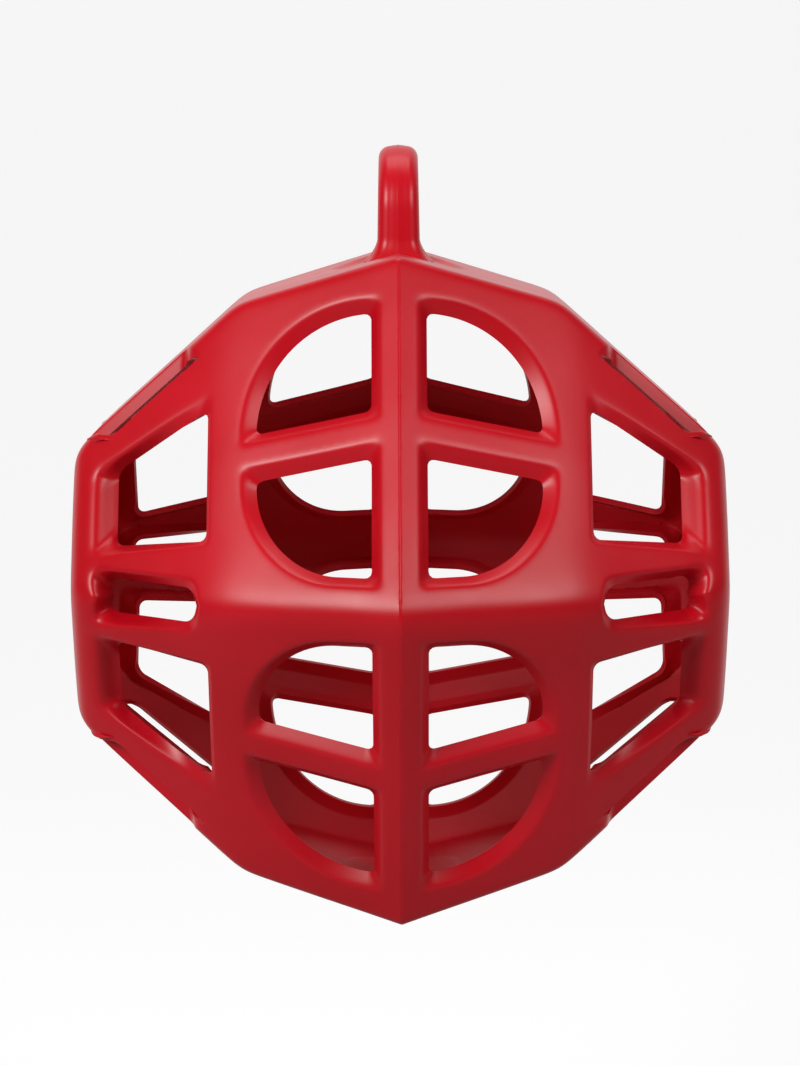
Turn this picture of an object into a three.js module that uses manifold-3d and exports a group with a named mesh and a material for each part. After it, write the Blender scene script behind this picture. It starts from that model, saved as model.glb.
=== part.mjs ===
// Hanging hay ball feeder: a hollow, many-sided cage of wall panels with a loop on top.
// Millimetres, +Z up, the front of the ball faces -Y. The ball mirrors in all three planes,
// so every outline below is drawn once, for positive x, y and z.
import * as THREE from "three";
import { ConvexGeometry } from "three/addons/geometries/ConvexGeometry.js";
import { mergeVertices } from "three/addons/utils/BufferGeometryUtils.js";
import Module from "manifold-3d";

const wasm = await Module();
wasm.setup();

// ---- driving dimensions -------------------------------------------------------------------
const HALF_DEPTH = 205;      // centre to the front seam, at the equator
const HALF_WIDTH = 200;      // centre to the side face, at the equator
const HALF_HEIGHT = 197.7;   // centre to the top ridge
const FALL_BACK = 0.52;      // how fast the front and corner faces lean back, per unit of height
const FRONT_SWEEP = 0.4;     // how fast the front faces fall away from the seam
const CORNER_SWEEP = 0.69;   // how fast the corner faces fall away
const CORNER_X = 103.6;      // the crease between a front face and a corner face
const ROOF_FALL = 0.298;     // slope of the cap faces either side of the ridge
const SHOULDER_X = 194.6;    // the crease between a slanted face and a side face
const SHOULDER_Z = 85.4;
const WALL = 4.6;            // moulded wall thickness
const GAP = 0.3;             // clearance between neighbouring panels

// The round window that the two front faces share: a wide top arc and a tighter bottom arc.
const TOP_ARC = { x: 11.5, z: 93, radius: 71.5 };
const LOW_ARC = { x: 36, z: 66, radius: 46.4 };
const SEAM_BAR = 16;         // half width of the upright bar along the seam
const BAR_HEIGHT = 100.7;    // the cross bar's middle line, where it meets the seam
const BAR_FALL = 0.2235;     // how fast the cross bar falls away from the seam
const BAR_HALF = 13.1;       // half height of the cross bar
const CORNER_HOLE = { inner: 111.5, outer: 166, foot: [36.1, 28], head: [108.4, 69.8], round: 6 };
const SLOT = { inner: 118.5, outer: 170.5, half: 10, round: 7 };

// The slit along the crease between a corner face and a slanted face. The corner face stops at a
// lip below the slanted face. The slanted face stops at its own edge and turns down inside.
const SLIT = { inner: 121, outer: 171, lip: 16.5, edge: 94.6, narrows: 0.225, turn: 14.5, round: 4 };
const REACH = 260;           // cutting tools run this far, past every face

const LOOP_TOP = 260;        // top of the hanging loop
const LOOP_HALF = 38;        // half the loop's outer length, along Y
const LOOP_THICK = 15;       // thickness of its strap
const LOOP_WIDTH = 25.6;     // width of its strap, along X
const LOOP_ROOT = 12;        // its legs are drawn this far below the ridge, then cut to the caps

// ---- corners of the ball, for positive x, y and z -----------------------------------------
const frontDepth = (x, z) => HALF_DEPTH - FRONT_SWEEP * x - FALL_BACK * z;
const CORNER_DEPTH = frontDepth(CORNER_X, 0) + CORNER_SWEEP * CORNER_X;
const cornerDepth = (x, z) => CORNER_DEPTH - CORNER_SWEEP * x - FALL_BACK * z;
const roofHeight = (x) => HALF_HEIGHT - ROOF_FALL * x;
const SLANT_FALL = (roofHeight(CORNER_X) - SHOULDER_Z) / (SHOULDER_X - CORNER_X);
const slantHeight = (x) => roofHeight(CORNER_X) - SLANT_FALL * (x - CORNER_X);
const slantEdge = (x) => SLIT.edge - SLIT.narrows * x;

const corner = {
  nose: [0, HALF_DEPTH, 0],
  cheek: [CORNER_X, frontDepth(CORNER_X, 0), 0],
  brow: [CORNER_X, frontDepth(CORNER_X, roofHeight(CORNER_X)), roofHeight(CORNER_X)],
  ridge: [0, frontDepth(0, HALF_HEIGHT), HALF_HEIGHT],
  shoulder: [SHOULDER_X, cornerDepth(SHOULDER_X, SHOULDER_Z), SHOULDER_Z],
  side: [HALF_WIDTH, cornerDepth(HALF_WIDTH, 0), 0],
};

// ---- solids -------------------------------------------------------------------------------
function toSolid(geometry) {
  const bare = geometry.clone();
  bare.deleteAttribute("normal");
  bare.deleteAttribute("uv");
  const merged = mergeVertices(bare, 1e-4);
  return new wasm.Manifold(new wasm.Mesh({
    numProp: 3,
    vertProperties: new Float32Array(merged.attributes.position.array),
    triVerts: new Uint32Array(merged.index.array),
  }));
}

function toMesh(solid, name, material) {
  const { vertProperties, triVerts } = solid.getMesh();
  const geometry = new THREE.BufferGeometry();
  geometry.setAttribute("position", new THREE.BufferAttribute(new Float32Array(vertProperties), 3));
  geometry.setIndex(new THREE.BufferAttribute(new Uint32Array(triVerts), 1));
  const flat = geometry.toNonIndexed();
  flat.computeVertexNormals();
  const mesh = new THREE.Mesh(flat, material);
  mesh.name = name;
  return mesh;
}

// A flat outline with every corner rounded.
function roundedShape(points, radius) {
  const corners = points.map(([x, y]) => new THREE.Vector2(x, y));
  const shape = new THREE.Shape();
  corners.forEach((here, i) => {
    const before = corners[(i + corners.length - 1) % corners.length];
    const after = corners[(i + 1) % corners.length];
    const start = here.clone().add(before.clone().sub(here).setLength(radius));
    const end = here.clone().add(after.clone().sub(here).setLength(radius));
    if (i === 0) shape.moveTo(start.x, start.y);
    else shape.lineTo(start.x, start.y);
    shape.quadraticCurveTo(here.x, here.y, end.x, end.y);
  });
  shape.closePath();
  return shape;
}

// A tool that cuts along Y: the outline is drawn in x and z, and mirrored by the two signs.
function cutAlongY(shape, signX, signY, signZ) {
  const points = shape.getPoints(4).map((p) => new THREE.Vector2(signX * p.x, signZ * p.y));
  const geometry = new THREE.ExtrudeGeometry(new THREE.Shape(points), { depth: REACH, bevelEnabled: false });
  geometry.rotateX(Math.PI / 2);
  if (signY > 0) geometry.translate(0, REACH, 0);
  return toSolid(geometry);
}

// A tool that cuts along Z: the outline is drawn in x and y.
function cutAlongZ(shape, signX, signY, signZ) {
  const points = shape.getPoints(4).map((p) => new THREE.Vector2(signX * p.x, signY * p.y));
  const geometry = new THREE.ExtrudeGeometry(new THREE.Shape(points), { depth: REACH, bevelEnabled: false });
  if (signZ < 0) geometry.translate(0, 0, -REACH);
  return toSolid(geometry);
}

// A wall panel: the face pulled in by half the gap, and the same face nearer the centre.
function wallPanel(points) {
  const face = points.map((p) => new THREE.Vector3(...p));
  const middle = face.reduce((sum, p) => sum.add(p), new THREE.Vector3()).divideScalar(face.length);
  const normal = face[1].clone().sub(face[0]).cross(face[2].clone().sub(face[0])).normalize();
  const depth = Math.abs(normal.dot(face[0]));
  const pulled = face.map((p, i) => {
    const before = face[(i + face.length - 1) % face.length];
    const after = face[(i + 1) % face.length];
    const inwards = [p.clone().sub(before), after.clone().sub(p)].map((edge) => {
      const side = normal.clone().cross(edge).normalize();
      return side.dot(middle.clone().sub(p)) > 0 ? side : side.negate();
    });
    const share = 1 + inwards[0].dot(inwards[1]);
    return p.clone().addScaledVector(inwards[0].add(inwards[1]), GAP / 2 / share);
  });
  const inner = pulled.map((p) => p.clone().multiplyScalar(1 - WALL / depth));
  return toSolid(new ConvexGeometry([...pulled, ...inner]));
}

// ---- outlines of the openings -------------------------------------------------------------
function windowShape() {
  const shape = new THREE.Shape();
  shape.moveTo(0, LOW_ARC.z - LOW_ARC.radius);
  shape.lineTo(LOW_ARC.x, LOW_ARC.z - LOW_ARC.radius);
  shape.absarc(LOW_ARC.x, LOW_ARC.z, LOW_ARC.radius, -Math.PI / 2, 0, false);
  shape.absarc(TOP_ARC.x, TOP_ARC.z, TOP_ARC.radius, 0, Math.PI / 2, false);
  shape.lineTo(0, TOP_ARC.z + TOP_ARC.radius);
  shape.closePath();
  return shape;
}

function barShape() {
  const far = CORNER_X;
  const fall = BAR_FALL * far;
  return new THREE.Shape([
    new THREE.Vector2(0, BAR_HEIGHT - BAR_HALF), new THREE.Vector2(far, BAR_HEIGHT - BAR_HALF - fall),
    new THREE.Vector2(far, BAR_HEIGHT + BAR_HALF - fall), new THREE.Vector2(0, BAR_HEIGHT + BAR_HALF),
  ]);
}

const seamBarShape = () => new THREE.Shape([
  new THREE.Vector2(-1, 0), new THREE.Vector2(SEAM_BAR, 0),
  new THREE.Vector2(SEAM_BAR, HALF_HEIGHT), new THREE.Vector2(-1, HALF_HEIGHT),
]);

function cornerHoleShape() {
  const { inner, outer, foot, head, round } = CORNER_HOLE;
  return roundedShape([[inner, foot[0]], [outer, foot[1]], [outer, head[1]], [inner, head[0]]], round);
}

function slotShape() {
  const { inner, outer, half, round } = SLOT;
  return roundedShape([[inner, -half], [outer, -half], [outer, half], [inner, half]], round);
}

// The slit's part in the corner face, drawn in x and z, and its part in the slanted face, in x and y.
function slitShape(height) {
  const { inner, outer, round } = SLIT;
  return roundedShape([
    [inner, height(inner)], [outer, height(outer)], [outer, height(outer) + 50], [inner, height(inner) + 50],
  ], round);
}
const lipShape = () => slitShape((x) => slantHeight(x) - SLIT.lip);
const edgeShape = () => slitShape(slantEdge);

// The slanted face's edge, turned down beside the slit.
function turnedEdge(signX, signY, signZ) {
  const points = [];
  for (const x of [SLIT.inner + 3, SLIT.outer - 3]) {
    for (const y of [slantEdge(x) - WALL, slantEdge(x) + 2]) {
      for (const z of [slantHeight(x) - 1, slantHeight(x) - SLIT.turn]) {
        points.push(new THREE.Vector3(signX * x, signY * y, signZ * z));
      }
    }
  }
  return toSolid(new ConvexGeometry(points));
}

// ---- the ball -----------------------------------------------------------------------------
const red = (roughness = 0.42) =>
  new THREE.MeshStandardMaterial({ color: 0xb5121f, roughness, metalness: 0 });
const ball = new THREE.Group();
const place = (name, sx, sy, sz) => [sx * corner[name][0], sy * corner[name][1], sz * corner[name][2]];
const faces = [["front", -1], ["back", 1]];
const hands = [["left", -1], ["right", 1]];
const levels = [["upper", 1], ["lower", -1]];

for (const [hand, sx] of hands) {
  for (const [level, sz] of levels) {
    for (const [face, sy] of faces) {
      const front = wallPanel(["nose", "cheek", "brow", "ridge"].map((n) => place(n, sx, sy, sz)));
      const bars = cutAlongY(barShape(), sx, sy, sz).add(cutAlongY(seamBarShape(), sx, sy, sz));
      const windows = cutAlongY(windowShape(), sx, sy, sz).subtract(bars);
      ball.add(toMesh(front.subtract(windows), `${face}_${hand}_${level}_panel`, red()));

      const side = wallPanel(["cheek", "brow", "shoulder", "side"].map((n) => place(n, sx, sy, sz)));
      const holes = cutAlongY(cornerHoleShape(), sx, sy, sz).add(cutAlongY(slotShape(), sx, sy, sz));
      const pierced = side.subtract(holes).subtract(cutAlongY(lipShape(), sx, sy, sz));
      ball.add(toMesh(pierced, `${face}_${hand}_${level}_corner_panel`, red()));
    }
    const both = (a, b) => [
      place(a, sx, -1, sz), place(b, sx, -1, sz), place(b, sx, 1, sz), place(a, sx, 1, sz),
    ];
    let slant = wallPanel(both("brow", "shoulder"));
    for (const [, sy] of faces) slant = slant.add(turnedEdge(sx, sy, sz));
    for (const [, sy] of faces) slant = slant.subtract(cutAlongZ(edgeShape(), sx, sy, sz));
    ball.add(toMesh(slant, `${hand}_${level}_slanted_panel`, red()));
    ball.add(toMesh(wallPanel(both("ridge", "brow")), `${hand}_${level}_cap_panel`, red()));
    ball.add(toMesh(wallPanel(both("shoulder", "side")), `${hand}_${level}_side_panel`, red()));
  }
}

// ---- the hanging loop: an arch across the ridge, with its hole along X --------------------
function loopSolid() {
  const arch = (half, top) => {
    const shape = new THREE.Shape();
    shape.moveTo(half, HALF_HEIGHT - LOOP_ROOT);
    shape.lineTo(half, top - half);
    shape.absarc(0, top - half, half, 0, Math.PI, false);
    shape.lineTo(-half, HALF_HEIGHT - LOOP_ROOT);
    shape.closePath();
    return shape;
  };
  const outline = arch(LOOP_HALF, LOOP_TOP);
  const eye = arch(LOOP_HALF - LOOP_THICK, LOOP_TOP - LOOP_THICK);
  const sweep = (shape, width) => {
    const settings = { depth: width, bevelEnabled: false, curveSegments: 12 };
    const geometry = new THREE.ExtrudeGeometry(shape, settings);
    geometry.translate(0, 0, -width / 2);
    geometry.rotateX(Math.PI / 2);
    geometry.rotateZ(Math.PI / 2);
    return toSolid(geometry);
  };
  const ballPoints = [];
  for (const sx of [-1, 1]) {
    for (const sy of [-1, 1]) {
      for (const name of ["ridge", "brow", "nose"]) {
        ballPoints.push(new THREE.Vector3(...place(name, sx, sy, 1)));
      }
    }
  }
  const clearance = 1 + GAP / HALF_HEIGHT;
  const ballTop = toSolid(new ConvexGeometry(ballPoints.map((p) => p.multiplyScalar(clearance))));
  return sweep(outline, LOOP_WIDTH).subtract(sweep(eye, 2 * LOOP_WIDTH)).subtract(ballTop);
}

ball.add(toMesh(loopSolid(), "hanging_loop", red(0.38)));

// The origin is where a hook bears: the top of the loop's eye.
ball.position.z = LOOP_THICK - LOOP_TOP;
const group = new THREE.Group();
group.add(ball);

export default group;
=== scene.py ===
"""Looks of the hanging hay ball feeder: one hollow moulding in two mirrored halves, with a loop on top.

The ball is worked out in millimetres about its own centre, for the octant where x, y and z are all
positive, and Geometry Nodes mirror that octant into the two halves that meet at the parting line.
"""

import logging
import math
from dataclasses import dataclass
from enum import Enum

import bpy
import numpy as np
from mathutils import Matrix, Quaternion, Vector
from mathutils.geometry import delaunay_2d_cdt


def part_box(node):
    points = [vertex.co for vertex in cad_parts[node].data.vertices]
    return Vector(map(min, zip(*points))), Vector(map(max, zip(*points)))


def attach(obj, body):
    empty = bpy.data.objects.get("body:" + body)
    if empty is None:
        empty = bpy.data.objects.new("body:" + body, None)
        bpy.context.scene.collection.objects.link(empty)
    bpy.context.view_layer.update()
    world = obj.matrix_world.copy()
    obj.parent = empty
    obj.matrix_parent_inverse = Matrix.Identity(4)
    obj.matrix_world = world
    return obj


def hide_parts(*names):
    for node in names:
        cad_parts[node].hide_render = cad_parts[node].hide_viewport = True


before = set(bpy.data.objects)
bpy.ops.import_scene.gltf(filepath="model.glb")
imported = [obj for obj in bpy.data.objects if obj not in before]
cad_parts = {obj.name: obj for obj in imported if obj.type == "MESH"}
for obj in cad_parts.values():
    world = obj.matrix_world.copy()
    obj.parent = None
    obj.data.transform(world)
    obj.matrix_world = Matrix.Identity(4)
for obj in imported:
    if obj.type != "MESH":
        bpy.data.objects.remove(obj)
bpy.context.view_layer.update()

log = logging.getLogger("hay_ball")
MM = 0.001
LEAST_RISE = 0.3    # rays flatter than this to a face don't count as meeting it
FAR = 999.0         # a distance that stands for "nowhere near"


# ---- the rounded outer form ---------------------------------------------------------------


class Face(Enum):
    """The kinds of face that the ball's octant is made of."""

    FRONT = "front"
    CORNER = "corner"
    SLANTED = "slanted"
    CAP = "cap"
    SIDE = "side"


@dataclass(frozen=True)
class Plane:
    """A flat face: the points p where normal . p equals depth, in millimetres."""

    normal: np.ndarray
    depth: float

    def drop(self, points: np.ndarray, keep: tuple[int, int]) -> np.ndarray:
        """Completes points known in two coordinates.

        Args:
            points: rows of the two known coordinates.
            keep: which axes those are, such as (0, 2) for x and z.

        Returns:
            Rows of x, y and z on the plane.
        """
        missing = ({0, 1, 2} - set(keep)).pop()
        full = np.zeros((len(points), 3))
        full[:, keep[0]], full[:, keep[1]] = points[:, 0], points[:, 1]
        rest = full @ self.normal
        full[:, missing] = (self.depth - rest) / self.normal[missing]
        return full


@dataclass(frozen=True)
class BallForm:
    """The many-sided ball with softened creases.

    Slopes are the same as the frame's panels, but the slanted faces lie slanted_drop lower.

    Attributes:
        crease: how broad the rounding of creases within the upper or lower part is.
        belt: the same, where the upper and lower parts meet at the equator.
        shoulder: the same, round the side faces.
    """

    half_width: float
    half_depth: float
    half_height: float
    corner_x: float
    shoulder_x: float
    shoulder_z: float = 85.4
    fall_back: float = 0.52
    front_sweep: float = 0.4
    corner_sweep: float = 0.69
    roof_fall: float = 0.298
    slanted_drop: float = 5.0
    crease: float = 1.5
    belt: float = 4.0
    shoulder: float = 4.0

    @property
    def corner_depth(self) -> float:
        """Where the corner faces' planes would cross x = 0 at the equator."""
        return self.half_depth + (self.corner_sweep - self.front_sweep) * self.corner_x

    @property
    def brow_z(self) -> float:
        """Height of the corner where front, corner, slanted and cap faces meet."""
        return self.half_height - self.roof_fall * self.corner_x

    def plane(self, face: Face) -> Plane:
        """The face's plane in the octant where x, y and z are positive."""
        slant = (self.brow_z - self.shoulder_z) / (self.shoulder_x - self.corner_x)
        lean = (self.half_width - self.shoulder_x) / self.shoulder_z
        normal, depth = {
            Face.FRONT: ((self.front_sweep, 1.0, self.fall_back), self.half_depth),
            Face.CORNER: ((self.corner_sweep, 1.0, self.fall_back), self.corner_depth),
            Face.SLANTED: ((slant, 0.0, 1.0), self.brow_z + slant * self.corner_x - self.slanted_drop),
            Face.CAP: ((self.roof_fall, 0.0, 1.0), self.half_height),
            Face.SIDE: ((1.0, 0.0, lean), self.half_width),
        }[face]
        length = math.sqrt(sum(n * n for n in normal))
        return Plane(np.array(normal) / length, depth / length)

    def outline(self, face: Face) -> np.ndarray:
        """Corners of the face inside the octant, in order."""
        brow = [self.corner_x, 0.0, self.brow_z]
        brow[1] = self.half_depth - self.front_sweep * brow[0] - self.fall_back * brow[2]
        nose = [0.0, self.half_depth, 0.0]
        cheek = [self.corner_x, self.half_depth - self.front_sweep * self.corner_x, 0.0]
        ridge = [0.0, self.half_depth - self.fall_back * self.half_height, self.half_height]
        shoulder = [self.shoulder_x, 0.0, self.shoulder_z]
        shoulder[1] = self.corner_depth - self.corner_sweep * shoulder[0] - self.fall_back * shoulder[2]
        side = [self.half_width, self.corner_depth - self.corner_sweep * self.half_width, 0.0]

        def middle(point: list[float]) -> list[float]:
            """The point's foot on the plane y = 0."""
            return [point[0], 0.0, point[2]]

        return np.array({
            Face.FRONT: [nose, cheek, brow, ridge],
            Face.CORNER: [cheek, side, shoulder, brow],
            Face.SLANTED: [brow, shoulder, middle(shoulder), middle(brow)],
            Face.CAP: [ridge, brow, middle(brow), middle(ridge)],
            Face.SIDE: [side, shoulder, middle(shoulder), middle(side)],
        }[face])

    def groups(self) -> list[tuple[np.ndarray, np.ndarray]]:
        """The planes on the +X side as upper faces, lower faces and side faces, mirrored in y and z."""
        groups: list[tuple[list[np.ndarray], list[float]]] = [([], []), ([], []), ([], [])]
        for face in Face:
            plane = self.plane(face)
            for sz in (1, -1):
                normals, depths = groups[2 if face is Face.SIDE else (0 if sz > 0 else 1)]
                for sy in (1, -1) if plane.normal[1] else (1,):
                    normals.append(plane.normal * (1, sy, sz))
                    depths.append(plane.depth)
        return [(np.array(normals), np.array(depths)) for normals, depths in groups]

    @staticmethod
    def softest(values: np.ndarray, slopes: np.ndarray, softness: float) -> tuple[np.ndarray, np.ndarray]:
        """A rounded maximum.

        Args:
            values: one row per point, one column per surface.
            slopes: the gradients that go with them.
            softness: how broad the rounding is.

        Returns:
            The rounded maximum and its gradient.
        """
        top = values.max(axis=1, keepdims=True)
        share = np.exp((values - top) / softness)
        total = share.sum(axis=1, keepdims=True)
        value = top[:, 0] + softness * np.log(total[:, 0])
        return value, ((share / total)[:, :, None] * slopes).sum(axis=1)

    @staticmethod
    def paired(first: tuple[np.ndarray, np.ndarray],
               second: tuple[np.ndarray, np.ndarray]) -> tuple[np.ndarray, np.ndarray]:
        """Puts two surfaces' values and gradients side by side."""
        return np.stack([first[0], second[0]], axis=1), np.stack([first[1], second[1]], axis=1)

    def field(self, points: np.ndarray) -> tuple[np.ndarray, np.ndarray]:
        """How far points lie outside the softened ball, and the gradient."""
        found = []
        for normals, depths in self.groups():
            slopes = np.broadcast_to(normals, (len(points), *normals.shape))
            found.append(self.softest(points @ normals.T - depths, slopes, self.crease))
        upper, lower, side = found
        belt = self.softest(*self.paired(upper, lower), self.belt)
        return self.softest(*self.paired(belt, side), self.shoulder)

    def surface(self, directions: np.ndarray) -> tuple[np.ndarray, np.ndarray]:
        """Finds where rays from the centre leave the softened ball.

        Args:
            directions: rows of rays, of any length.

        Returns:
            The points, and the outward unit normals there.
        """
        rays = directions / np.linalg.norm(directions, axis=1, keepdims=True)
        reach = np.full(len(rays), 150.0)
        for _ in range(14):
            value, slope = self.field(rays * reach[:, None])
            reach = reach - value / np.maximum((slope * rays).sum(axis=1), 0.2)
        _, slope = self.field(rays * reach[:, None])
        return rays * reach[:, None], slope / np.linalg.norm(slope, axis=1, keepdims=True)


# ---- the openings and their dished rims ---------------------------------------------------


@dataclass
class Opening:
    """A hole cut at the foot of a dished rim.

    Attributes:
        plane: the face it sits in.
        axes: the two coordinates that its outline is drawn in.
        centre: a point inside it, in those coordinates.
        sink: the unit direction that its rim is pressed in.
        depth: how far the cut edge lies below the face, unless sunk says otherwise.
        rims: how wide the sloping wall is at each edge, in the order of the edges.
        corner: radius of the outline's corners.
        half: True where the octant holds only half of the opening.
        reach: how far off its face's plane the rim still presses in full.
        softness: how gently the rim starts at its lip, as a share of its width.
    """

    plane: Plane
    axes: tuple[int, int]
    centre: tuple[float, float]
    sink: np.ndarray
    depth: float = 7.0
    rims: tuple[float, ...] = (7.2, 7.2, 7.2)
    corner: float = 4.0
    half: bool = False
    reach: float = 6.0
    softness: float = 0.12

    def edges(self, a: np.ndarray, b: np.ndarray) -> list[np.ndarray]:
        """Distances past each edge of the outline, below zero inside. Each kind of opening has its own."""
        raise NotImplementedError

    def sunk(self, a: np.ndarray, b: np.ndarray) -> np.ndarray:
        """How deep the cut edge lies at each place."""
        return np.full(len(a), self.depth)

    def metric(self, da: float, db: float) -> float:
        """Length of a gradient on the tilted face, from its two coordinates' slopes."""
        missing = ({0, 1, 2} - set(self.axes)).pop()
        n = self.plane.normal
        pa, pb = n[self.axes[0]] / n[missing], n[self.axes[1]] / n[missing]
        grid = np.array([[1 + pa * pa, pa * pb], [pa * pb, 1 + pb * pb]])
        return float(np.sqrt(np.array([da, db]) @ np.linalg.inv(grid) @ np.array([da, db])))

    def line(self, a: np.ndarray, b: np.ndarray, da: float, db: float, offset: float) -> np.ndarray:
        """Distance on the face past the straight edge where da * a + db * b equals offset."""
        return (da * a + db * b - offset) / self.metric(da, db)

    def arc(self, a: np.ndarray, b: np.ndarray, ca: float, cb: float, radius: float) -> np.ndarray:
        """Distance on the face past a round edge about (ca, cb)."""
        da, db = a - ca, b - cb
        away = np.maximum(np.hypot(da, db), 1e-6)
        missing = ({0, 1, 2} - set(self.axes)).pop()
        n = self.plane.normal
        pa, pb = n[self.axes[0]] / n[missing], n[self.axes[1]] / n[missing]
        det = 1 + pa * pa + pb * pb
        ua, ub = da / away, db / away
        slope = ((1 + pb * pb) * ua * ua - 2 * pa * pb * ua * ub + (1 + pa * pa) * ub * ub) / det
        return (away - radius) / np.sqrt(slope)

    def signed(self, a: np.ndarray, b: np.ndarray) -> tuple[np.ndarray, np.ndarray]:
        """Distances on the face from the cut edge and from the lip of its rim, below zero inside."""
        sunk = self.sunk(a, b)
        a = a + self.sink[self.axes[0]] * sunk
        b = b + self.sink[self.axes[1]] * sunk
        edges = np.stack(self.edges(a, b))
        found = []
        for past in (edges + self.corner, edges - np.array(self.rims)[:, None] + self.corner):
            outside = np.sqrt((np.maximum(past, 0) ** 2).sum(axis=0))
            found.append(np.minimum(past.max(axis=0), 0) + outside - self.corner)
        return found[0], found[1]

    def seen(self, rays: np.ndarray) -> tuple[np.ndarray, np.ndarray, np.ndarray]:
        """Where rays from the ball's centre meet the face's plane, and both distances there."""
        length = np.linalg.norm(rays, axis=1)
        rise = rays @ self.plane.normal / length
        hits = rays * (self.plane.depth / (np.maximum(rise, LEAST_RISE) * length))[:, None]
        cut, lip = self.signed(hits[:, self.axes[0]], hits[:, self.axes[1]])
        away = rise <= LEAST_RISE
        return hits, np.where(away, FAR, cut), np.where(away, FAR - 1, lip)

    def dent(self, points: np.ndarray) -> np.ndarray:
        """How far the rim presses each point in, as vectors."""
        hits, cut, lip = self.seen(points)
        share = -lip / np.maximum(cut - lip, 0.05)
        press = self.softness * np.logaddexp(0, np.clip(share, -20, 3) / self.softness)
        off = np.abs(points @ self.plane.normal - self.plane.depth)
        press = np.minimum(press, 1.15) * np.clip(2 - off / self.reach, 0, 1)
        press *= self.sunk(hits[:, self.axes[0]], hits[:, self.axes[1]])
        return self.sink * press[:, None]

    def ring(self, level: float, spacing: float) -> np.ndarray:
        """Traces the outline between the cut edge (level 0) and the lip (level 1), or a little past it.

        Args:
            level: share of the way from the cut edge to the lip.
            spacing: distance between the points.

        Returns:
            Rows of points on the face's plane, evenly spaced, closed unless the opening is a half.
        """
        turns = np.linspace(0, math.pi if self.half else 2 * math.pi, 721 if self.half else 1441)
        way = np.stack([np.cos(turns), np.sin(turns)], axis=1)
        low, high = np.zeros(len(turns)), np.full(len(turns), 130.0)
        for _ in range(40):
            middle = (low + high) / 2
            flat = np.array(self.centre) + way * middle[:, None]
            cut, lip = self.signed(flat[:, 0], flat[:, 1])
            inside = cut * (1 - level) + lip * level < 0
            low, high = np.where(inside, middle, low), np.where(inside, high, middle)
        points = self.plane.drop(np.array(self.centre) + way * low[:, None], self.axes)
        run = np.concatenate([[0], np.cumsum(np.linalg.norm(np.diff(points, axis=0), axis=1))])
        count = max(8, round(run[-1] / spacing))
        stops = np.linspace(0, run[-1], count + 1)
        even = np.stack([np.interp(stops, run, points[:, k]) for k in range(3)], axis=1)
        return even if self.half else even[:-1]


@dataclass(frozen=True)
class Cross:
    """The bars that cross the round window."""

    seam_bar: float = 16.0
    bar_height: float = 100.7
    bar_half: float = 13.1
    bar_fall: float = 0.2235


@dataclass
class TopWindow(Opening):
    """The part of the round window above the cross bar."""

    arc_x: float = 11.5
    arc_z: float = 93.0
    arc_radius: float = 71.5

    def edges(self, a: np.ndarray, b: np.ndarray) -> list[np.ndarray]:
        """The seam bar, the cross bar and the wide top arc."""
        return [
            self.line(a, b, -1, 0, -Cross.seam_bar),
            self.line(a, b, -Cross.bar_fall, -1, -(Cross.bar_height + Cross.bar_half)),
            self.arc(a, b, self.arc_x, self.arc_z, self.arc_radius),
        ]


@dataclass
class LowWindow(Opening):
    """The part of the round window below the cross bar."""

    side: float = 82.4
    foot: float = 19.6
    bend: float = 46.4
    tilt: float = 0.9

    def edges(self, a: np.ndarray, b: np.ndarray) -> list[np.ndarray]:
        """The seam bar, the cross bar and the tight lower arc, which runs flat towards the seam."""
        across, down = a - self.side + self.bend, self.foot - b + self.bend
        away = np.hypot(np.maximum(across, 0), np.maximum(down, 0))
        arc = np.minimum(np.maximum(across, down), 0) + away - self.bend
        return [
            self.line(a, b, -1, 0, -Cross.seam_bar),
            self.line(a, b, Cross.bar_fall, 1, Cross.bar_height - Cross.bar_half),
            arc / self.tilt,
        ]


@dataclass
class CornerPocket(Opening):
    """An opening whose cut edge lies straight behind its outline, deeper towards the side."""

    growth: float = 0.27
    start: float = 27.9
    shallowest: float = 1.2
    deepest: float = 18.0

    def sunk(self, a: np.ndarray, b: np.ndarray) -> np.ndarray:
        """Grows evenly towards the side of the ball."""
        return np.clip(self.growth * a - self.start, self.shallowest, self.deepest)


@dataclass
class CornerHole(CornerPocket):
    """The four-sided hole in a corner face."""

    inner: float = 111.5
    outer: float = 166.0
    foot: tuple[float, float] = (0.148, 52.6)
    head: tuple[float, float] = (0.709, 187.5)

    def edges(self, a: np.ndarray, b: np.ndarray) -> list[np.ndarray]:
        """Inner, lower, outer and slanting upper edges."""
        return [
            self.line(a, b, -1, 0, -self.inner),
            self.line(a, b, -self.foot[0], -1, -self.foot[1]),
            self.line(a, b, 1, 0, self.outer),
            self.line(a, b, self.head[0], 1, self.head[1]),
        ]


@dataclass
class EquatorSlot(CornerPocket):
    """The slot that lies across the equator."""

    inner: float = 118.5
    outer: float = 170.5
    half_height: float = 10.0

    def edges(self, a: np.ndarray, b: np.ndarray) -> list[np.ndarray]:
        """Two ends, and the upper edge, which mirrors to the lower one."""
        return [
            self.line(a, b, -1, 0, -self.inner),
            self.line(a, b, 1, 0, self.outer),
            b - self.half_height,
        ]


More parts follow.
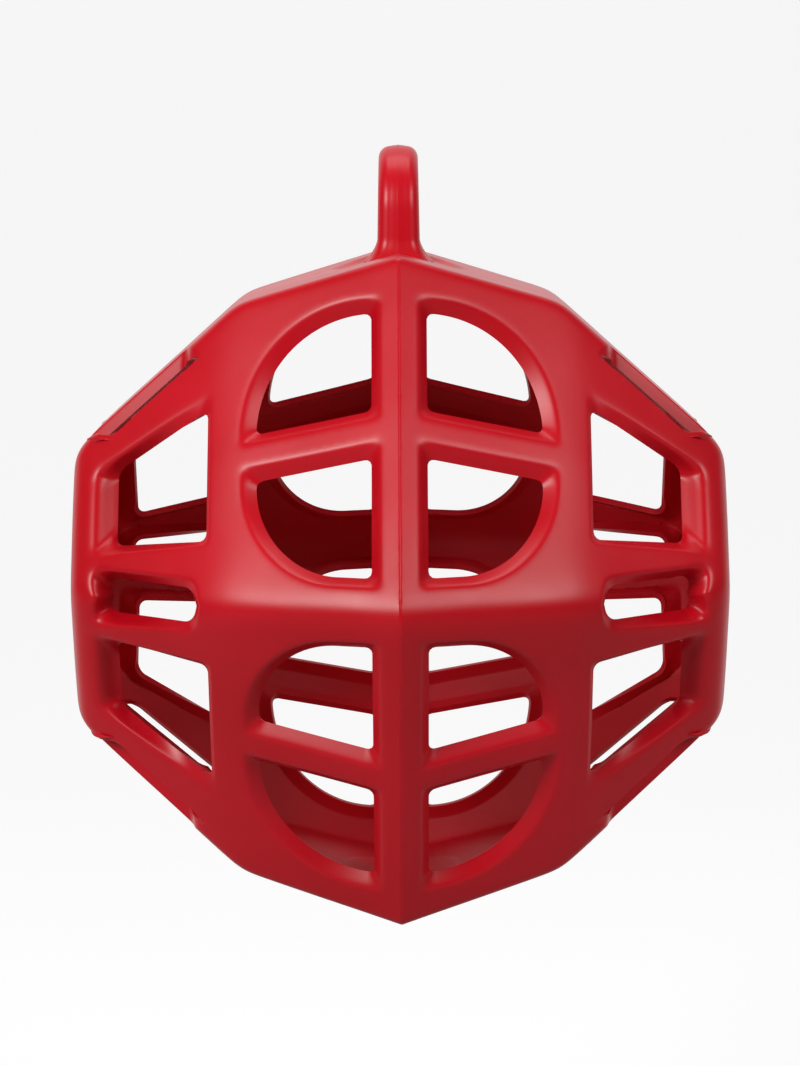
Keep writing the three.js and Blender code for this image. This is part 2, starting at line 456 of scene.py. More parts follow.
@dataclass
class CreaseSlit(Opening):
    """The slit along a crease: a lip on the corner face, and a turned-down edge on the slanted face."""

    narrows: float = 0.225
    lip: float = 113.8
    edge: float = 94.6
    drop_width: float = 17.0

    def edges(self, a: np.ndarray, b: np.ndarray) -> list[np.ndarray]:
        """Two ends, the corner face's lip and the slanted face's edge."""
        return [
            self.line(a, b, -1, -0.2, -139.5),
            self.line(a, b, 1, 0.3, 198.0),
            self.line(a, b, self.narrows, 1, self.lip),
            self.line(a, b, -self.narrows, -1, -self.edge),
        ]

    def sunk(self, a: np.ndarray, b: np.ndarray) -> np.ndarray:
        """Nothing at the lip, and the full drop at the slanted face's edge."""
        return self.depth * np.clip((self.lip - self.narrows * a - b) / self.drop_width, 0, 1)


# ---- the moulded wall ---------------------------------------------------------------------


@dataclass
class BallShell:
    """The hollow ball: an octant of wall with its dished openings, mirrored into two halves."""

    form: BallForm
    centre_z: float
    spacing: float = 2.1
    wall: float = 3.6
    groove: float = 0.35
    groove_reach: float = 0.45
    dish_across: float = 40.0
    dish_along: float = 56.0
    dish_depth: float = 3.4
    ring_levels: tuple[float, ...] = (0.0, 0.15, 0.34, 0.54, 0.72, 0.86, 0.98, 1.12, 1.3)

    def openings(self) -> list[Opening]:
        """Every opening in the octant."""
        front, corner = self.form.plane(Face.FRONT), self.form.plane(Face.CORNER)
        slanted = self.form.plane(Face.SLANTED)
        back, down = np.array([0.0, -1.0, 0.0]), np.array([0.0, 0.0, -1.0])
        return [
            TopWindow(front, (0, 2), (42.0, 130.0), -front.normal, depth=6.4),
            LowWindow(front, (0, 2), (46.0, 52.0), -front.normal, depth=6.4),
            CornerHole(corner, (0, 2), (140.0, 62.0), back, rims=(2.2, 2.2, 15.5, 9.5), corner=5.0,
                       reach=14.0),
            EquatorSlot(corner, (0, 2), (145.0, 0.0), back, rims=(2.2, 12.0, 5.8), corner=7.0, half=True,
                        reach=14.0),
            CreaseSlit(slanted, (0, 1), (149.0, 70.5), down, depth=9.5, rims=(2.0, 2.0, 1.6, 1.8),
                       corner=3.0),
        ]

    @staticmethod
    def flat(points: np.ndarray) -> np.ndarray:
        """Maps directions to a triangle with the axes at its corners, where great circles are lines."""
        share = points / points.sum(axis=1, keepdims=True)
        across = (share[:, 1] - share[:, 0]) * 0.5
        up = share[:, 2] * math.sqrt(0.75)
        return np.stack([across, up], axis=1) * 1000

    @staticmethod
    def middle_rays(spots: np.ndarray) -> np.ndarray:
        """Turns places on the flat triangle back into directions."""
        up = spots[:, 1] / 1000 / math.sqrt(0.75)
        across = spots[:, 0] / 1000 * 2
        return np.stack([(1 - up - across) / 2, (1 - up + across) / 2, up], axis=1)

    def edge_runs(self) -> list[np.ndarray]:
        """Points along every crease and along the octant's borders."""
        runs, seen = [], set()
        for face in Face:
            corners = self.form.outline(face)
            for start, end in zip(corners, np.roll(corners, -1, axis=0)):
                key = tuple(sorted([tuple(np.round(start, 3)), tuple(np.round(end, 3))]))
                if key not in seen:
                    seen.add(key)
                    count = max(1, round(np.linalg.norm(end - start) / self.spacing))
                    runs.append(start + (end - start) * np.linspace(0, 1, count + 1)[:, None])
        return runs

    def face_fill(self, face: Face) -> np.ndarray:
        """A triangular grid of points inside one face."""
        plane, corners = self.form.plane(face), self.form.outline(face)
        first = corners[1] - corners[0]
        first = first / np.linalg.norm(first)
        second = np.cross(plane.normal, first)
        flat = (corners - corners[0]) @ np.stack([first, second], axis=1)
        low, high = flat.min(axis=0), flat.max(axis=0)
        row = self.spacing * math.sqrt(0.75)
        rows = np.arange(low[1] + row / 2, high[1], row)
        points = []
        for i, v in enumerate(rows):
            us = np.arange(low[0] + (i % 2) * self.spacing / 2, high[0], self.spacing)
            points.append(np.stack([us, np.full(len(us), v)], axis=1))
        points = np.concatenate(points)
        keep = np.ones(len(points), bool)
        turn = np.sign(np.cross(flat[1] - flat[0], flat[2] - flat[1]))
        for start, end in zip(flat, np.roll(flat, -1, axis=0)):
            edge = (end - start) / np.linalg.norm(end - start)
            away = turn * (edge[0] * (points[:, 1] - start[1]) - edge[1] * (points[:, 0] - start[0]))
            keep &= away > 0.45 * self.spacing
        points = points[keep]
        return corners[0] + points @ np.stack([first, second])

    def seam_rows(self) -> np.ndarray:
        """Two fine rows beside the parting line, so that its groove has a shape."""
        rows = []
        for run in self.edge_runs():
            if np.abs(run[:, 0]).max() < 1e-6:
                for gap in (self.groove_reach, 2.4 * self.groove_reach):
                    rows.append(run[1:-1] + np.array([gap, 0, 0]))
        return np.concatenate(rows)

    def sheet(self) -> tuple[np.ndarray, np.ndarray]:
        """Triangulates the octant.

        Returns:
            Directions of the vertices, and the triangles.
        """
        openings = self.openings()
        chunks: list[np.ndarray] = []
        rings: list[tuple[int, int, bool]] = []
        total = 0
        for opening in openings:
            for level in self.ring_levels:
                ring = opening.ring(level, self.spacing)
                if opening.half:
                    ring[0, opening.axes[1]] = ring[-1, opening.axes[1]] = 0.0
                rings.append((total, len(ring), opening.half))
                chunks.append(ring)
                total += len(ring)
        loose = [self.seam_rows()] + self.edge_runs() + [self.face_fill(face) for face in Face]
        loose_points = np.concatenate(loose)
        last = self.ring_levels[-1] - 1
        clear = np.ones(len(loose_points), bool)
        for opening in openings:
            _, cut, lip = opening.seen(loose_points)
            clear &= lip > last * np.clip(cut - lip, 0, 20) + 0.55 * self.spacing
        loose_points = loose_points[clear]
        loose_points = self.thin(loose_points)
        points = np.concatenate(chunks + [loose_points])
        points[np.abs(points) < 1e-6] = 0.0
        flat = self.flat(points)
        links = []
        for start, count, half in rings:
            steps = [(start + i, start + i + 1) for i in range(count - 1)]
            links += steps if half else steps + [(start + count - 1, start)]
        made = delaunay_2d_cdt([Vector(p) for p in flat], links, [], 0, 1e-4)
        verts, _, faces, origin = made[0], made[1], made[2], made[3]
        source = np.array([o[0] if o else -1 for o in origin])
        extra = np.where(source < 0)[0]
        spots = np.array([[v.x, v.y] for v in verts])
        directions = np.where(source[:, None] >= 0, points[np.maximum(source, 0)], 0.0)
        directions[extra] = self.middle_rays(spots[extra])
        triangles = np.array([f for f in faces if len(f) == 3])
        a, b, c = (spots[triangles[:, k]] for k in range(3))
        area = 0.5 * np.abs((b - a)[:, 0] * (c - a)[:, 1] - (b - a)[:, 1] * (c - a)[:, 0])
        triangles = triangles[area > 1e-3]
        middles = self.middle_rays(spots[triangles].mean(axis=1))
        lost = np.zeros(len(triangles), bool)
        for opening in openings:
            lost |= opening.seen(middles)[1] < 0
        return directions, triangles[~lost]

    def thin(self, points: np.ndarray) -> np.ndarray:
        """Drops points that crowd an earlier one, such as fill beside a crease."""
        cell = 0.42 * self.spacing
        kept: dict[tuple[int, int, int], np.ndarray] = {}
        fine = self.groove_reach * 3
        out = []
        for p in points:
            if p[0] < fine:
                out.append(p)
                continue
            key = tuple(int(v // cell) for v in p)
            crowd = False
            for dx in (-1, 0, 1):
                for dy in (-1, 0, 1):
                    for dz in (-1, 0, 1):
                        q = kept.get((key[0] + dx, key[1] + dy, key[2] + dz))
                        if q is not None and np.abs(q - p).max() < cell:
                            crowd = True
            if not crowd:
                kept[key] = p
                out.append(p)
        rounded = np.round(np.array(out), 4)
        _, index = np.unique(rounded, axis=0, return_index=True)
        return np.array(out)[np.sort(index)]

    def octant(self) -> bpy.types.Mesh:
        """Builds the octant's closed wall: outer sheet, inner sheet, cut edges and the seam's edge."""
        directions, triangles = self.sheet()
        used = np.unique(triangles)
        lookup = np.full(len(directions), -1)
        lookup[used] = np.arange(len(used))
        directions, triangles = directions[used], lookup[triangles]
        outer, normals = self.form.surface(directions)
        on_seam, on_front, on_level = (np.abs(directions[:, k]) < 1e-9 for k in range(3))
        moved = outer.copy()
        for opening in self.openings():
            moved += opening.dent(outer)
        moved += self.loop_dish(outer)
        moved += normals * self.waviness(outer)[:, None]
        beside = np.clip(1 - outer[:, 0] / self.groove_reach, 0, 1)
        moved -= normals * (self.groove * beside)[:, None]
        for mask, axis in ((on_seam, 0), (on_front, 1), (on_level, 2)):
            moved[mask, axis] = 0.0
        triangles = self.outward(outer, triangles)
        normals = self.smooth_normals(moved, triangles)
        for mask, axis in ((on_front, 1), (on_level, 2)):
            normals[mask, axis] = 0.0
        normals /= np.linalg.norm(normals, axis=1, keepdims=True)
        side = normals[on_seam][:, 0:1]
        normals[on_seam, 0] = 0.0
        normals[on_seam] /= np.maximum(1 - side * side, 0.2)
        inner = moved - normals * self.wall
        for mask, axis in ((on_seam, 0), (on_front, 1), (on_level, 2)):
            inner[mask, axis] = 0.0
        count = len(moved)
        border = self.border(triangles)
        keep = [not ((on_front[i] and on_front[j]) or (on_level[i] and on_level[j])) for i, j in border]
        rim = [(i, j) for (i, j), good in zip(border, keep) if good]
        faces = [tuple(t) for t in triangles] + [tuple(t[::-1] + count) for t in triangles]
        faces += [(j, i, i + count, j + count) for i, j in rim]
        mesh = bpy.data.meshes.new("wall_octant")
        points = (np.concatenate([moved, inner]) * MM).tolist()
        mesh.from_pydata(points, [], [list(map(int, f)) for f in faces])
        mesh.update()
        inside = mesh.attributes.new("inside", "FLOAT", "POINT")
        inside.data.foreach_set("value", np.concatenate([np.zeros(count), np.ones(count)]))
        mesh.polygons.foreach_set("use_smooth", np.ones(len(mesh.polygons), bool))
        self.mark_sharp(mesh, rim, count)
        return mesh

    def loop_dish(self, points: np.ndarray) -> np.ndarray:
        """The shallow oval dish that the loop stands in."""
        across, along = points[:, 0] / self.dish_across, points[:, 1] / self.dish_along
        away = (np.hypot(across, along) - 1) * 45.0
        press = 0.62 * 0.8 * np.logaddexp(0, np.clip(-away, -60, 60) / 0.8)
        press = np.where(points[:, 2] > 150, np.minimum(press, self.dish_depth), 0.0)
        press = self.dish_depth * np.tanh(press / self.dish_depth)
        return np.outer(press, (0.0, 0.0, -1.0))

    def waviness(self, points: np.ndarray) -> np.ndarray:
        """The faint unevenness of a moulded wall, even about each plane so that the halves meet."""
        x, y, z = np.abs(points).T
        broad = 0.10 * np.cos(x / 19 + 0.6) * np.cos(y / 23 + 0.4) * np.cos(z / 17)
        return broad + 0.06 * np.cos((x + z) / 9.5)

    @staticmethod
    def outward(points: np.ndarray, triangles: np.ndarray) -> np.ndarray:
        """Turns every triangle to face away from the ball's centre."""
        a, b, c = (points[triangles[:, k]] for k in range(3))
        back = (np.cross(b - a, c - a) * (a + b + c)).sum(axis=1) < 0
        triangles = triangles.copy()
        triangles[back] = triangles[back][:, ::-1]
        return triangles

    @staticmethod
    def smooth_normals(points: np.ndarray, triangles: np.ndarray) -> np.ndarray:
        """Vertex normals, weighted by area."""
        a, b, c = (points[triangles[:, k]] for k in range(3))
        face = np.cross(b - a, c - a)
        normals = np.zeros_like(points)
        for k in range(3):
            np.add.at(normals, triangles[:, k], face)
        return normals / np.maximum(np.linalg.norm(normals, axis=1, keepdims=True), 1e-12)

    @staticmethod
    def border(triangles: np.ndarray) -> list[tuple[int, int]]:
        """Directed edges that only one triangle has."""
        seen: dict[tuple[int, int], tuple[int, int]] = {}
        for t in triangles.tolist():
            for i, j in ((t[0], t[1]), (t[1], t[2]), (t[2], t[0])):
                key = (min(i, j), max(i, j))
                if seen.pop(key, None) is None:
                    seen[key] = (i, j)
        return list(seen.values())

    @staticmethod
    def mark_sharp(mesh: bpy.types.Mesh, rim: list[tuple[int, int]], count: int) -> None:
        """Keeps the cut edges crisp."""
        crisp = {tuple(sorted((int(i) + shift, int(j) + shift))) for i, j in rim for shift in (0, count)}
        flags = [tuple(sorted(edge.vertices)) in crisp for edge in mesh.edges]
        sharp = mesh.attributes.get("sharp_edge") or mesh.attributes.new("sharp_edge", "BOOLEAN", "EDGE")
        sharp.data.foreach_set("value", flags)


# ---- Geometry Nodes -----------------------------------------------------------------------


class Nodes:
    """A Geometry Nodes tree under construction, and the mesh that it makes."""

    def __init__(self, name: str) -> None:
        """Starts an empty tree with one geometry input and one geometry output."""
        self.tree = bpy.data.node_groups.new(name, "GeometryNodeTree")
        self.tree.interface.new_socket("Geometry", in_out="INPUT", socket_type="NodeSocketGeometry")
        self.tree.interface.new_socket("Geometry", in_out="OUTPUT", socket_type="NodeSocketGeometry")
        self.start = self.tree.nodes.new("NodeGroupInput")
        self.end = self.tree.nodes.new("NodeGroupOutput")

    def value(self, name: str, kind: str, default: object = None) -> bpy.types.NodeSocket:
        """Adds a named input and returns its socket inside the tree."""
        item = self.tree.interface.new_socket(name, in_out="INPUT", socket_type=kind)
        if default is not None:
            item.default_value = default
        return self.start.outputs[name]

    def add(self, kind: str, settings: dict[str, object] | None = None, **inputs: object) -> bpy.types.Node:
        """Adds a node.

        Args:
            kind: the node's type.
            settings: its own settings, set first.
            **inputs: values or sockets by input name, with spaces as underscores.

        Returns:
            The node.
        """
        node = self.tree.nodes.new(kind)
        for key, value in (settings or {}).items():
            setattr(node, key, value)
        for key, value in inputs.items():
            socket = node.inputs[key.replace("_", " ")]
            if isinstance(value, bpy.types.NodeSocket):
                self.tree.links.new(value, socket)
            else:
                socket.default_value = value
        return node

    def join(self, *parts: bpy.types.NodeSocket) -> bpy.types.NodeSocket:
        """Joins geometry."""
        node = self.tree.nodes.new("GeometryNodeJoinGeometry")
        for part in reversed(parts):
            self.tree.links.new(part, node.inputs[0])
        return node.outputs[0]

    def mirrored(self, part: bpy.types.NodeSocket, scale: tuple[float, float, float]) -> bpy.types.NodeSocket:
        """A copy mirrored by a scale of -1, with its faces turned outwards again."""
        turned = self.add("GeometryNodeTransform", Geometry=part, Scale=scale)
        return self.add("GeometryNodeFlipFaces", Mesh=turned.outputs[0]).outputs[0]

    def bake(self, name: str, mesh: bpy.types.Mesh, values: dict[str, object]) -> bpy.types.Object:
        """Runs the tree on a mesh and keeps the result as a plain mesh object."""
        carrier = bpy.data.objects.new(name + "_carrier", mesh)
        bpy.context.scene.collection.objects.link(carrier)
        modifier = carrier.modifiers.new("build", "NODES")
        modifier.node_group = self.tree
        for item in self.tree.interface.items_tree:
            if item.item_type == "SOCKET" and item.in_out == "INPUT" and item.name in values:
                modifier[item.identifier] = values[item.name]
        carrier.update_tag()
        ready = carrier.evaluated_get(bpy.context.evaluated_depsgraph_get())
        result = bpy.data.meshes.new_from_object(ready)
        result.name = name
        bpy.data.objects.remove(carrier)
        made = bpy.data.objects.new(name, result)
        bpy.context.scene.collection.objects.link(made)
        return made


class MirrorTree(Nodes):
    """Mirrors an octant of wall into a closed half of the ball."""

    def __init__(self) -> None:
        """Builds the tree: mirror across y, then z, weld, put on its side, place, and give the material."""
        super().__init__("mirror_octant")
        side = self.value("Side", "NodeSocketVector", (1.0, 1.0, 1.0))
        flip = self.value("Other Side", "NodeSocketBool", False)
        place = self.value("Place", "NodeSocketVector", (0.0, 0.0, 0.0))
        weld = self.value("Weld", "NodeSocketFloat", 1e-6)
        finish = self.value("Finish", "NodeSocketMaterial")
        quarter = self.start.outputs["Geometry"]
        pair = self.join(quarter, self.mirrored(quarter, (1.0, -1.0, 1.0)))
        four = self.join(pair, self.mirrored(pair, (1.0, 1.0, -1.0)))
        closed = self.add("GeometryNodeMergeByDistance", Geometry=four, Distance=weld)
        sided = self.add("GeometryNodeTransform", Geometry=closed.outputs[0], Scale=side)
        turned = self.add("GeometryNodeFlipFaces", Mesh=sided.outputs[0], Selection=flip)
        placed = self.add("GeometryNodeTransform", Geometry=turned.outputs[0], Translation=place)
        real = self.add("GeometryNodeRealizeInstances", Geometry=placed.outputs[0])
        dressed = self.add("GeometryNodeSetMaterial", Geometry=real.outputs[0], Material=finish)
        self.tree.links.new(dressed.outputs[0], self.end.inputs[0])


# ---- the hanging loop ---------------------------------------------------------------------


@dataclass
class HangingLoop:
    """The moulded loop: a strap with rounded edges that arches along the ridge."""

    top: float
    ridge: float
    half_length: float
    half_width: float
    thick: float = 15.0
    sink: float = 9.0
    taper: float = 1.1
    flare: float = 11.0
    flare_rise: float = 17.0
    edge_radius: float = 7.2
    around: int = 56

    def path(self) -> tuple[np.ndarray, np.ndarray]:
        """The strap's middle line in y and z, and its sideways direction, away from the eye."""
        radius = self.half_length - self.thick / 2
        spring = self.top - self.half_length
        legs = np.linspace(self.ridge - self.sink, spring, 34)
        turn = np.linspace(0, math.pi, 61)[1:-1]
        ys = np.concatenate([np.full(len(legs), radius), radius * np.cos(turn), np.full(len(legs), -radius)])
        zs = np.concatenate([legs, spring + radius * np.sin(turn), legs[::-1]])
        outs = np.concatenate([
            np.tile([1.0, 0.0], (len(legs), 1)), np.stack([np.cos(turn), np.sin(turn)], axis=1),
            np.tile([-1.0, 0.0], (len(legs), 1)),
        ])
        return np.stack([ys, zs], axis=1), outs

    def section(self, half_x: float, half_t: float) -> np.ndarray:
        """A rounded strap section with a faint parting ridge at its middle, in x and thickness."""
        radius = min(self.edge_radius, half_x, half_t) - 0.01
        points = []
        quarter = self.around // 4
        for cx, ct, start in ((1, 1, 0), (-1, 1, 90), (-1, -1, 180), (1, -1, 270)):
            for k in range(quarter + 1):
                a = math.radians(start + 90 * k / quarter)
                points.append((cx * (half_x - radius) + radius * math.cos(a),
                               ct * (half_t - radius) + radius * math.sin(a)))
            if start in (0, 180):
                steps = np.linspace(1, -1, 15)[1:-1] * ct
                for s in steps:
                    crown = 0.55 * (1 - s * s) + 0.18 * math.exp(-((s * half_x / 0.45) ** 2))
                    points.append((s * (half_x - radius), ct * (half_t + crown)))
        return np.array(points)

    def mesh(self, centre_z: float) -> bpy.types.Mesh:
        """Sweeps the section along the path, spreading it into the ball at its feet."""
        line, outs = self.path()
        rings = []
        for (y, z), (oy, oz) in zip(line, outs):
            rise = z - self.ridge + self.sink
            spread = self.flare * max(1.0 - rise / self.flare_rise, 0.0) ** 2
            lift = min(max((self.top - z) / (self.top - self.ridge), 0.0), 1.0)
            half_x = self.half_width - self.taper * (1 - lift) + spread * 0.8
            ring = self.section(half_x, self.thick / 2 + spread * 0.6)
            rings.append(np.stack([ring[:, 0], y + oy * ring[:, 1], z + oz * ring[:, 1]], axis=1))
        count, size = len(rings), len(rings[0])
        points = np.concatenate(rings)
        points[:, 2] += centre_z
        faces = []
        for i in range(count - 1):
            for k in range(size):
                n = (k + 1) % size
                faces.append((i * size + k, i * size + n, (i + 1) * size + n, (i + 1) * size + k))
        faces.append(tuple(range(size))[::-1])
        faces.append(tuple((count - 1) * size + k for k in range(size)))
        mesh = bpy.data.meshes.new("hanging_loop_moulding")
        mesh.from_pydata((points * MM).tolist(), [], faces)
        mesh.update()
        return mesh


# ---- finishes -----------------------------------------------------------------------------


class Value:
    """A shader socket with arithmetic: an expression on values adds its Math nodes."""

    def __init__(self, shader: "Shader", socket: bpy.types.NodeSocket) -> None:
        """Wraps a socket of the shader's tree."""
        self.shader, self.socket = shader, socket

    def _math(self, operation: str, *values: object) -> "Value":
        """Adds one Math node."""
        node = self.shader.tree.nodes.new("ShaderNodeMath")
        node.operation = operation
        for slot, value in zip(node.inputs, values):
            if isinstance(value, Value):
                self.shader.tree.links.new(value.socket, slot)
            else:
                slot.default_value = float(value)
        return Value(self.shader, node.outputs[0])

    def __add__(self, other: object) -> "Value":
        """self + other."""
        return self._math("ADD", self, other)

    __radd__ = __add__

    def __mul__(self, other: object) -> "Value":
        """self * other."""
        return self._math("MULTIPLY", self, other)

    __rmul__ = __mul__

    def clip(self, low: float, high: float) -> "Value":
        """Spreads the stretch from low to high over 0 to 1, and holds the rest at the ends."""
        node = self.shader.add("ShaderNodeMapRange", {"clamp": True}, Value=self)
        node.inputs["From Min"].default_value, node.inputs["From Max"].default_value = low, high
        return Value(self.shader, node.outputs[0])


class Shader:
    """A material's node tree under construction."""

    def __init__(self, name: str) -> None:
        """Starts a material with an empty tree and a Principled shader."""
        self.material = bpy.data.materials.new(name)
        self.material.use_nodes = True
        self.tree = self.material.node_tree
        self.tree.nodes.clear()
        self.surface = self.tree.nodes.new("ShaderNodeBsdfPrincipled")
        out = self.tree.nodes.new("ShaderNodeOutputMaterial")
        self.tree.links.new(self.surface.outputs[0], out.inputs["Surface"])
        self.place = self.tree.nodes.new("ShaderNodeTexCoord").outputs["Object"]

    def add(self, kind: str, settings: dict[str, object] | None = None, **inputs: object) -> bpy.types.Node:
        """Adds a node of any kind.

        Args:
            kind: the node's type.
            settings: its own settings, set first; "stops" fills a colour ramp.
            **inputs: values, sockets or Values by input name, with spaces as underscores.

        Returns:
            The node.
        """
        node = self.tree.nodes.new(kind)
        for key, value in (settings or {}).items():
            if key == "stops":
                ramp = node.color_ramp
                while len(ramp.elements) < len(value):
                    ramp.elements.new(0.5)
                for element, (position, colour) in zip(ramp.elements, value):
                    element.position, element.color = position, (*colour, 1.0)
            else:
                setattr(node, key, value)
        for key, value in inputs.items():
            socket = node.inputs[key.replace("_", " ")]
            source = value.socket if isinstance(value, Value) else value
            if isinstance(source, bpy.types.NodeSocket):
                self.tree.links.new(source, socket)
            else:
                socket.default_value = source
        return node

    def noise(self, scale: float, detail: float = 2.0, roughness: float = 0.5) -> Value:
        """Soft noise over the object, with scale in features per metre."""
        node = self.add("ShaderNodeTexNoise", Vector=self.place, Scale=scale, Detail=detail,
                        Roughness=roughness)
        return Value(self, node.outputs[0])

    def blend(self, amount: Value, first: tuple[float, ...] | bpy.types.NodeSocket,
              second: tuple[float, ...] | bpy.types.NodeSocket) -> bpy.types.NodeSocket:
        """Mixes two colours by a value."""
        node = self.tree.nodes.new("ShaderNodeMix")
        node.data_type = "RGBA"
        self.tree.links.new(amount.socket, node.inputs[0])
        for slot, colour in ((node.inputs[6], first), (node.inputs[7], second)):
            if isinstance(colour, bpy.types.NodeSocket):
                self.tree.links.new(colour, slot)
            else:
                slot.default_value = (*colour, 1.0)
        return node.outputs[2]

    def feed(self, name: str, source: Value | bpy.types.NodeSocket) -> None:
        """Links a value or socket into the Principled shader."""
        socket = source.socket if isinstance(source, Value) else source
        self.tree.links.new(socket, self.surface.inputs[name])


@dataclass(frozen=True)
class MouldedRed:
    """Semi-gloss moulded polyethylene, one colour all through."""

    colour: tuple[float, float, float] = (0.58, 0.0020, 0.012)
    deep: tuple[float, float, float] = (0.51, 0.0012, 0.008)
    rubbed: tuple[float, float, float] = (0.50, 0.030, 0.040)
    roughness: float = 0.35

    def material(self) -> bpy.types.Material:
        """Builds the material: cloudy colour, rubbed specks, fine grain and uneven gloss."""
        shader = Shader("moulded_red_plastic")
        cloud = shader.noise(9.0, 3.0)
        tone = shader.blend(cloud.clip(0.35, 0.65), self.deep, self.colour)
        specks = shader.noise(900.0, 2.0, 0.6).clip(0.70, 0.78)
        patches = shader.noise(26.0, 4.0, 0.6).clip(0.50, 0.72)
        worn = (specks * patches) * 0.35
        shader.feed("Base Color", shader.blend(worn, tone, self.rubbed))
        gloss = shader.noise(34.0, 4.0, 0.55)
        inside = shader.add("ShaderNodeAttribute", {"attribute_name": "inside"})
        inner = Value(shader, inside.outputs["Fac"])
        shader.feed("Roughness", gloss * 0.10 + (self.roughness - 0.05) + inner * 0.22 + worn * 0.3)
        grain = shader.noise(1500.0, 2.0, 0.5)
        ripple = shader.noise(60.0, 2.0, 0.4)
        height = grain * 0.25 + ripple * 0.9
        bump = shader.add("ShaderNodeBump", Height=height, Strength=0.10, Distance=0.0006)
        shader.feed("Normal", bump.outputs[0])
        shader.surface.inputs["Specular IOR Level"].default_value = 0.34
        return shader.material


# ---- the studio ---------------------------------------------------------------------------


@dataclass
class Studio:
    """Pale floor and sweep, soft lights and the camera."""

    ball_centre: float
    ball_foot: float
    distance: float = 2.235
    down: float = 6.6
    above: float = 0.0244
    lens: float = 123.3
    roll: float = 0.0048

    def camera(self) -> None:
        """A long lens, a little above the ball's middle and looking slightly down."""
        tilt = math.radians(self.down)
        ahead = Vector((0, math.cos(tilt), -math.sin(tilt)))
        up = Vector((0, math.sin(tilt), math.cos(tilt)))
        data = bpy.data.cameras.new("camera")
        data.lens, data.sensor_width = self.lens, 36.0
        data.clip_end = 50.0
        camera = bpy.data.objects.new("camera", data)
        camera.location = Vector((0, 0, self.ball_centre)) - ahead * self.distance + up * self.above
        turn = ahead.to_track_quat("-Z", "Y") @ Quaternion((0, 0, 1), -self.roll)
        camera.rotation_euler = turn.to_euler()
        bpy.context.scene.collection.objects.link(camera)
        bpy.context.scene.camera = camera

    def backdrop(self) -> None:
        """A pale floor that sweeps up into the wall behind."""
        floor, width, back, radius = self.ball_foot - 0.30, 6.0, 2.6, 1.2
        profile = [(-6.0, floor), (back - radius, floor)]
        for k in range(1, 17):
            a = math.radians(90 * k / 16)
            profile.append((back - radius + radius * math.sin(a), floor + radius * (1 - math.cos(a))))
        profile.append((back, floor + 6.0))
        points = [(sx * width, y, z) for y, z in profile for sx in (-1, 1)]
        faces = [(2 * i, 2 * i + 1, 2 * i + 3, 2 * i + 2) for i in range(len(profile) - 1)]
        mesh = bpy.data.meshes.new("backdrop")
        mesh.from_pydata(points, [], faces)
        mesh.polygons.foreach_set("use_smooth", [True] * len(faces))
        shader = Shader("pale_paper")
        shader.surface.inputs["Base Color"].default_value = (0.30, 0.30, 0.30, 1)
        shader.surface.inputs["Roughness"].default_value = 0.9
        split = shader.add("ShaderNodeSeparateXYZ", Vector=shader.place)
        behind = Value(shader, split.outputs["Y"]).clip(0.1, 0.7)
        shader.feed("Emission Color", shader.blend(behind, (0.05, 0.05, 0.05), (1.0, 1.0, 1.0)))
        shader.surface.inputs["Emission Strength"].default_value = 0.74
        mesh.materials.append(shader.material)
        stage = bpy.data.objects.new("backdrop", mesh)
        bpy.context.scene.collection.objects.link(stage)

    def lamp(self, name: str, place: tuple[float, float, float], size: tuple[float, float],
             power: float) -> None:
        """One soft box, aimed at the ball."""
        data = bpy.data.lights.new(name, "AREA")
        data.shape, data.size, data.size_y, data.energy = "RECTANGLE", size[0], size[1], power
        lamp = bpy.data.objects.new(name, data)
        lamp.location = Vector(place) + Vector((0, 0, self.ball_centre))
        aim = Vector((0, 0, self.ball_centre)) - lamp.location
        lamp.rotation_euler = aim.to_track_quat("-Z", "Y").to_euler()
        bpy.context.scene.collection.objects.link(lamp)

    def build(self) -> None:
        """Makes the whole studio."""
        self.camera()
        self.backdrop()
        self.lamp("key_left", (-1.4, -1.7, 1.05), (0.8, 0.8), 41.0)
        self.lamp("fill_right", (1.5, -1.4, 1.05), (0.7, 0.8), 19.0)
        self.lamp("over", (0.0, 0.2, 1.9), (1.3, 0.9), 12.0)
        world = bpy.data.worlds.new("room")
        bpy.context.scene.world = world
        world.use_nodes = True
        world.node_tree.nodes["Background"].inputs[0].default_value = (1.0, 1.0, 1.0, 1)
        world.node_tree.nodes["Background"].inputs[1].default_value = 0.06
        bpy.context.scene.view_settings.view_transform = "Standard"


# ---- putting it together ------------------------------------------------------------------


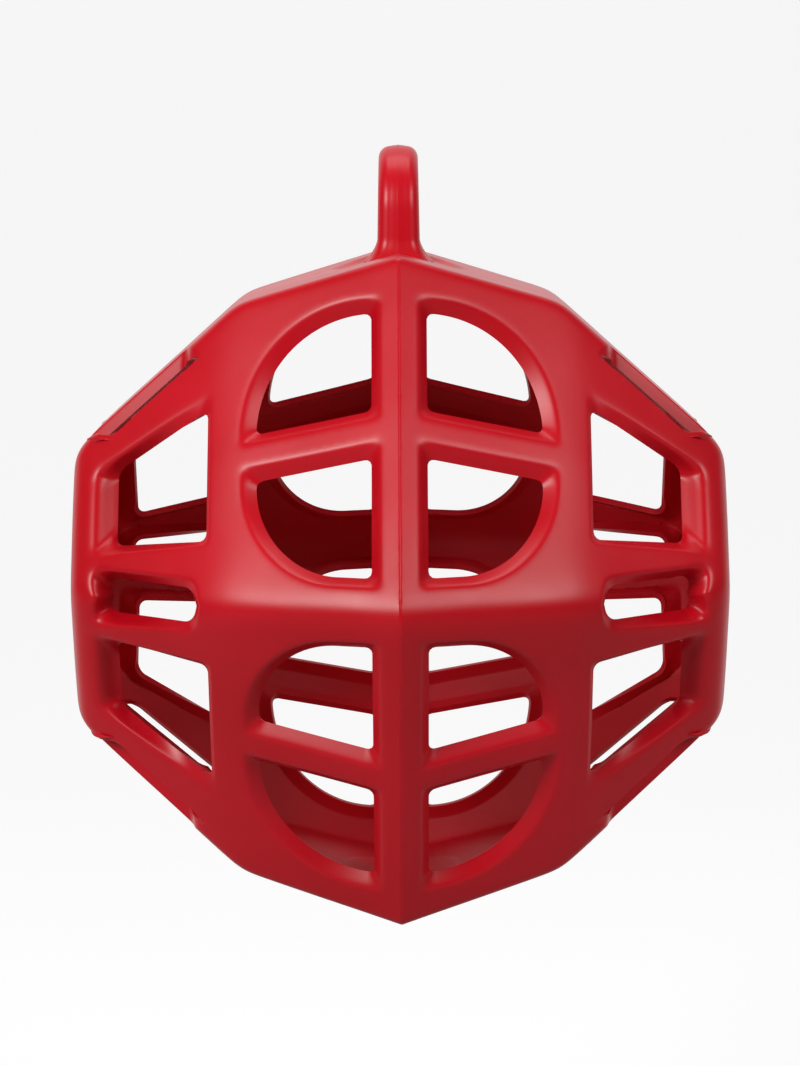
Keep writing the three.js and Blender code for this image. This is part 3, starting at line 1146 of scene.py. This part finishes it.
def node_box(name: str) -> tuple[np.ndarray, np.ndarray]:
    """Lowest and highest corner of a CAD node, in millimetres."""
    low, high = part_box(name)
    return np.array(low) / MM, np.array(high) / MM


def main() -> None:
    """Builds the ball's two halves and the loop, dresses them and sets the studio."""
    logging.basicConfig(level=logging.INFO, format="%(message)s")
    cap_low, cap_high = node_box("left_lower_cap_panel")[0], node_box("left_upper_cap_panel")[1]
    side_high = node_box("right_upper_side_panel")[1]
    front_low = node_box("front_left_upper_panel")[0]
    slanted_high = node_box("right_upper_slanted_panel")[1]
    loop_low, loop_high = node_box("hanging_loop")
    centre = (cap_low[2] + cap_high[2]) / 2
    form = BallForm(
        half_width=side_high[0] * 0.978, half_depth=-front_low[1], half_height=cap_high[2] - centre,
        corner_x=-front_low[0], shoulder_x=slanted_high[0],
    )
    finish = MouldedRed().material()

    shell = BallShell(form, centre)
    octant = shell.octant()
    log.info("octant: %d vertices, %d faces", len(octant.vertices), len(octant.polygons))
    tree = MirrorTree()
    halves = {"left": -1.0, "right": 1.0}
    for hand, side in halves.items():
        half = tree.bake(f"ball_{hand}_half", octant, {
            "Side": (side, 1.0, 1.0), "Other Side": side < 0, "Place": (0.0, 0.0, centre * MM),
            "Weld": 1e-6, "Finish": finish,
        })
        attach(half, "root")
        nodes = [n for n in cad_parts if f"{hand}_" in n]
        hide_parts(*nodes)
        log.info("%s: %d vertices, %d faces", half.name, len(half.data.vertices), len(half.data.polygons))

    loop_form = HangingLoop(
        top=loop_high[2] - centre, ridge=form.half_height, half_length=loop_high[1], half_width=loop_high[0],
    )
    loop_mesh = loop_form.mesh(centre)
    loop = bpy.data.objects.new("moulded_loop", loop_mesh)
    bpy.context.scene.collection.objects.link(loop)
    loop_mesh.polygons.foreach_set("use_smooth", [True] * len(loop_mesh.polygons))
    loop_mesh.materials.append(finish)
    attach(loop, "root")
    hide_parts("hanging_loop")
    log.info("%s: %d faces", loop.name, len(loop_mesh.polygons))

    Studio(ball_centre=centre * MM, ball_foot=cap_low[2] * MM).build()


if __name__ == "__main__":
    main()
